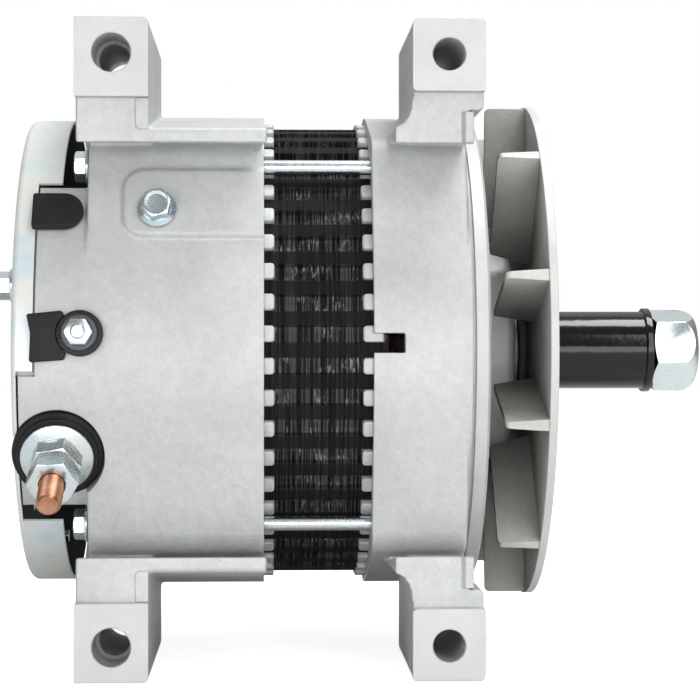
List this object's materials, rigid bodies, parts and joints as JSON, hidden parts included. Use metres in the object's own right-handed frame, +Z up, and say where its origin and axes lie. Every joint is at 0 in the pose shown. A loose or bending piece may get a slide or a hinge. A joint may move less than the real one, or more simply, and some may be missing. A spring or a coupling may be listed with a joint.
{
  "type": "generator alternator head",
  "caption": "Pad-mount alternator head: twin cast frames round an open laminated stator, outside fan, keyed shaft with nut, rear cover and terminals.",
  "frame": {"origin": "centre of the shaft's free end face", "axes": "+X along the shaft out of the drive end, -Y out of the mounting pads, +Z up"},
  "size_m": [0.3001, 0.2421, 0.259],
  "materials": {
    "cast_aluminium": "blasted casting with machined faces",
    "lamination_steel": "black varnish",
    "copper_winding": "enamelled wire",
    "zinc_steel": "bright zinc plate",
    "black_rubber": "satin",
    "black_plastic": "moulded",
    "bare_copper": "bare copper",
    "bare_steel": "ground steel",
    "black_gloss": "gloss black",
    "carbon": "pressed carbon"
  },
  "bodies": {
    "housing": {"front_frame": "cast_aluminium", "rear_frame": "cast_aluminium", "stator_core": "lamination_steel", "stator_winding_front": "copper_winding", "stator_winding_rear": "copper_winding", "front_bearing_outer": "bare_steel", "rear_bearing_outer": "bare_steel", "bearing_retainer": "zinc_steel", "through_bolt_1": "zinc_steel", "through_bolt_2": "zinc_steel", "through_bolt_3": "zinc_steel", "through_bolt_4": "zinc_steel", "cover_screw_1": "zinc_steel", "cover_screw_2": "zinc_steel", "cover_screw_3": "zinc_steel", "rear_cover": "zinc_steel", "rectifier_insulator": "black_plastic", "rectifier_negative_plate": "cast_aluminium", "rectifier_positive_plate": "cast_aluminium", "negative_diode_1": "zinc_steel", "negative_diode_2": "zinc_steel", "negative_diode_3": "zinc_steel", "positive_diode_1": "zinc_steel", "positive_diode_2": "zinc_steel", "positive_diode_3": "zinc_steel", "brush_holder": "black_plastic", "brush_inner": "carbon", "brush_outer": "carbon", "voltage_regulator": "cast_aluminium", "output_insulator": "black_rubber", "output_flange_nut": "zinc_steel", "output_lock_nut": "zinc_steel", "output_stud": "bare_copper", "relay_insulator": "black_plastic", "lead_strap": "black_rubber", "relay_nut": "zinc_steel", "relay_stud": "zinc_steel", "rubber_plug": "black_rubber", "rectifier_bolt": "zinc_steel"},
    "rotor": {"rotor_shaft": "bare_steel", "rotor_pole_front": "bare_steel", "rotor_pole_rear": "bare_steel", "field_coil": "copper_winding", "slip_ring_hub": "black_plastic", "slip_ring_inner": "bare_copper", "slip_ring_outer": "bare_copper", "front_bearing_inner": "bare_steel", "rear_bearing_inner": "bare_steel", "fan": "cast_aluminium", "fan_spacer": "bare_steel", "shaft_sleeve": "black_gloss", "shaft_key": "bare_steel", "shaft_nut": "zinc_steel"},
    "front_cage": {"front_bearing_cage": "bare_steel"},
    "rear_cage": {"rear_bearing_cage": "bare_steel"}
  },
  "joints": [
    {"name": "rotor_spin", "type": "hinge", "parent": "housing", "child": "rotor", "pos_m": [-0.1706, 0, 0], "axis": [1, 0, 0], "continuous": true},
    {"name": "front_cage_spin", "type": "hinge", "parent": "housing", "child": "front_cage", "pos_m": [-0.0976, 0, 0], "axis": [1, 0, 0], "continuous": true},
    {"name": "rear_cage_spin", "type": "hinge", "parent": "housing", "child": "rear_cage", "pos_m": [-0.254, 0, 0], "axis": [1, 0, 0], "continuous": true}
  ],
  "couplings": [
    {"joint": "front_cage_spin", "follows": "rotor_spin", "ratio": 0.3863},
    {"joint": "rear_cage_spin", "follows": "rotor_spin", "ratio": 0.3877}
  ]
}
